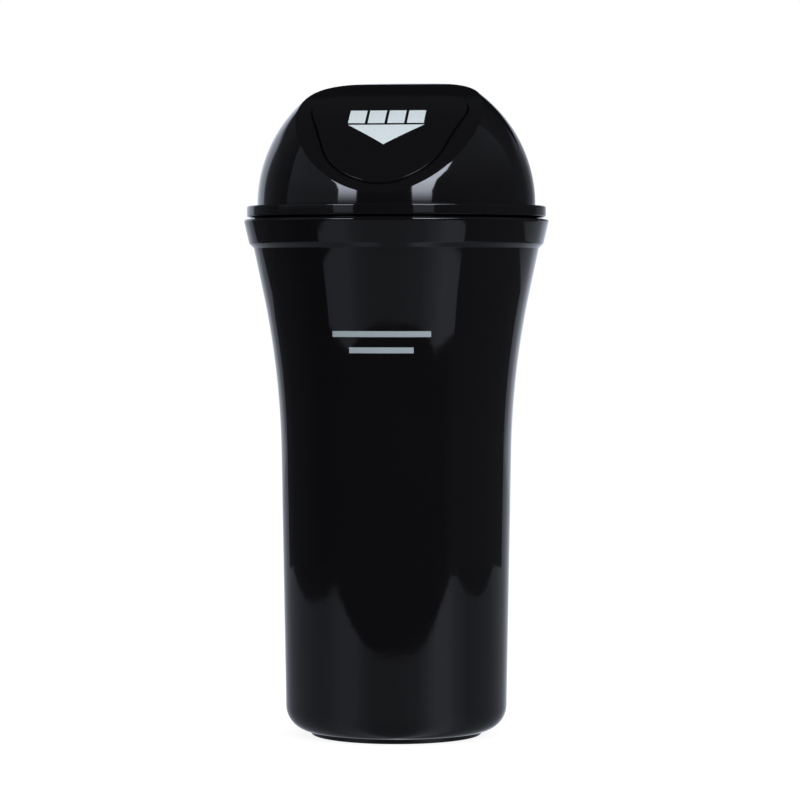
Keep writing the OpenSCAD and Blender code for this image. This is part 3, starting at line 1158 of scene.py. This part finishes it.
# A far panel: rows of (elevation, left azimuth, right azimuth) in degrees, levels by elevation
def addPanel(name, distance, rows, strength, levels):
    def place(across, up):
        spot = up * (len(rows) - 1)
        i = min(int(spot), len(rows) - 2)
        rise, left, right = (a + (b - a) * (spot - i) for a, b in zip(rows[i], rows[i + 1]))
        turn, rise = math.radians(left + (right - left) * across), math.radians(rise)
        flat, lift = distance * math.cos(rise), distance * math.sin(rise)
        return flat * math.sin(turn), -flat * math.cos(turn), stage["panelCentre"] + lift

    def build(nodes, links):
        where = nodes.new("ShaderNodeTexCoord")
        parts = nodes.new("ShaderNodeSeparateXYZ")
        links.new(where.outputs["Object"], parts.inputs["Vector"])
        stops = [((stage["panelCentre"] + distance * math.sin(math.radians(rise))) * mm, level)
                 for rise, level in levels]
        glow = nodes.new("ShaderNodeEmission")
        links.new(levelRamp(nodes, links, parts.outputs["Z"], stops), glow.inputs["Color"])
        glow.inputs["Strength"].default_value = strength
        return glow.outputs["Emission"]

    addBent(name, stage["panelSteps"], len(rows) - 1, place, stageMaterial(name, build))


brightStrength = 9
brightLevels = [(0.3, 0.04), (1.5, 0.07), (2.5, 0.15), (5, 0.33), (10, 0.78), (18, 1.1), (31, 1.1)]
addPanel("panelLeft", stage["panelDistance"],
         [(0.3, -40.5, -25), (10, -40.5, -25), (14, -43, -25), (20, -50, -25)],
         brightStrength, brightLevels)
addPanel("panelRight", stage["panelDistance"],
         [(0.3, 20, 35.5), (10, 20, 36.5), (18, 20, 41), (25, 20, 52), (31, 20, 60)],
         brightStrength, brightLevels)
addPanel("scrimLeft", stage["scrimDistance"],
         [(1, -93, -40), (16, -93, -40), (29, -98, -40), (42, -101, -40)],
         1, [(1, 0.15), (9, 0.15), (15, 0.20), (42, 0.19)])
addPanel("scrimRight", stage["scrimDistance"], [(12, 52, 128), (28, 52, 126), (45, 52, 120)],
         1, [(12, 0.04), (22, 0.08), (32, 0.12), (45, 0.12)])
addPanel("shadeBack", stage["scrimDistance"], [(13.5, 158, 190), (40, 158, 190)],
         1, [(13.5, 0.006), (40, 0.006)])


# A lamp for the rough surfaces and the shadow, at degrees round the object and up
def addLamp(name, azimuth, elevation, wide, high, radiance):
    a, e = math.radians(azimuth), math.radians(elevation)
    direction = Vector((math.sin(a) * math.cos(e), -math.cos(a) * math.cos(e), math.sin(e)))
    lamp = bpy.data.lights.new(name, "AREA")
    lamp.shape = "RECTANGLE"
    lamp.size = wide
    lamp.size_y = high
    lamp.energy = radiance * wide * high * math.pi
    holder = bpy.data.objects.new(name, lamp)
    bpy.context.scene.collection.objects.link(holder)
    holder.location = Vector((0, 0, stage["panelCentre"])) * mm
    holder.location += stage["lampDistance"] * mm * direction
    holder.rotation_euler = direction.to_track_quat("Z", "Y").to_euler()
    holder.visible_camera = False
    holder.visible_glossy = False


addLamp("lampLeft", -58, 16, 0.4, 0.55, 8)
addLamp("lampRight", 52, 16, 0.6, 0.55, 9)


# The world's levels by degrees round the object, white only behind it
worldLow = [
    (-180, 1), (-160, 0.75), (-150, 0.6), (-140, 0.48), (-135.5, 0.42), (-133, 0.04),
    (-112, 0.04), (-100, 0.02), (-81, 0.02), (-65, 0), (45, 0), (60, 0.015), (80, 0.03),
    (100, 0.035), (141.5, 0.05), (144.5, 0.4), (150, 0.48), (160, 0.68), (170, 0.85), (180, 1)]
worldMiddle = [
    (-180, 0.9), (-157, 0.95), (-149, 0.8), (-137, 0.72), (-133.5, 0.12), (-126, 0.09),
    (-112, 0.05), (-100, 0.03), (-93, 0.03), (-19, 0), (14, 0), (40, 0.03), (80, 0.045),
    (140, 0.04), (145, 0.05), (151, 0.10), (160, 0.15), (166, 0.34), (173, 0.46), (180, 0.7)]
worldUpper = [
    (-180, 0.004), (-155, 0.01), (-140, 0.05), (-125, 0.06), (-105, 0.04), (-90, 0.03),
    (-40, 0.01), (40, 0.02), (60, 0.05), (100, 0.05), (130, 0.04), (150, 0.02), (180, 0.004)]

# Elevations between which one row gives way to the next, and the levels that have no row
worldLook = {
    "lowToMiddle": (-1, 2),  # degrees
    "middleToUpper": (16, 21),
    "upperToZenith": (38, 46),
    "zenith": (50, 78),
    "zenithLevels": (0.028, 0.022),
    "roughLevel": 0.5,
}


# White to the camera, half bright to rough surfaces, and to reflections the rows above
def paintWorld():
    look = worldLook
    world = bpy.data.worlds.new("studio")
    bpy.context.scene.world = world
    world.use_nodes = True
    nodes, links = world.node_tree.nodes, world.node_tree.links
    nodes.clear()
    where = nodes.new("ShaderNodeTexCoord")
    azimuth, height = azimuthOf(nodes, links, where.outputs["Generated"])

    def blend(elevations, low, high):
        limits = [math.sin(math.radians(elevation)) for elevation in elevations]
        share = addRange(nodes, links, height, limits)
        share.interpolation_type = "SMOOTHSTEP"
        return mixColours(nodes, links, share.outputs["Result"], low, high)

    low, middle, upper = (
        levelRamp(nodes, links, azimuth, row) for row in (worldLow, worldMiddle, worldUpper))
    zenith = blend(look["zenith"], *[shaded(stage["tint"], k) for k in look["zenithLevels"]])
    level = blend(look["middleToUpper"], blend(look["lowToMiddle"], low, middle),
                  blend(look["upperToZenith"], upper, zenith))
    path = nodes.new("ShaderNodeLightPath")
    seen = mixColours(nodes, links, path.outputs["Is Glossy Ray"],
                      shaded((1, 1, 1), look["roughLevel"]), level)
    final = mixColours(nodes, links, path.outputs["Is Camera Ray"], seen, (1, 1, 1, 1))
    background = nodes.new("ShaderNodeBackground")
    links.new(final, background.inputs["Color"])
    output = nodes.new("ShaderNodeOutputWorld")
    links.new(background.outputs["Background"], output.inputs["Surface"])


paintWorld()


def addCamera():
    a = math.radians(stage["cameraAzimuth"])
    lens = bpy.data.cameras.new("camera")
    lens.lens = stage["cameraLens"]
    lens.sensor_width = 36
    lens.clip_start = 0.01
    lens.clip_end = 20
    camera = bpy.data.objects.new("camera", lens)
    bpy.context.scene.collection.objects.link(camera)
    away = stage["cameraDistance"] * mm
    camera.location = (away * math.sin(a), -away * math.cos(a), stage["cameraHeight"] * mm)
    pitch = math.radians(90 - stage["cameraPitch"])
    camera.rotation_euler = (pitch, 0, a - math.radians(stage["cameraYaw"]))
    bpy.context.scene.camera = camera


addCamera()
bpy.context.scene.view_settings.view_transform = "Standard"
print("stage set")
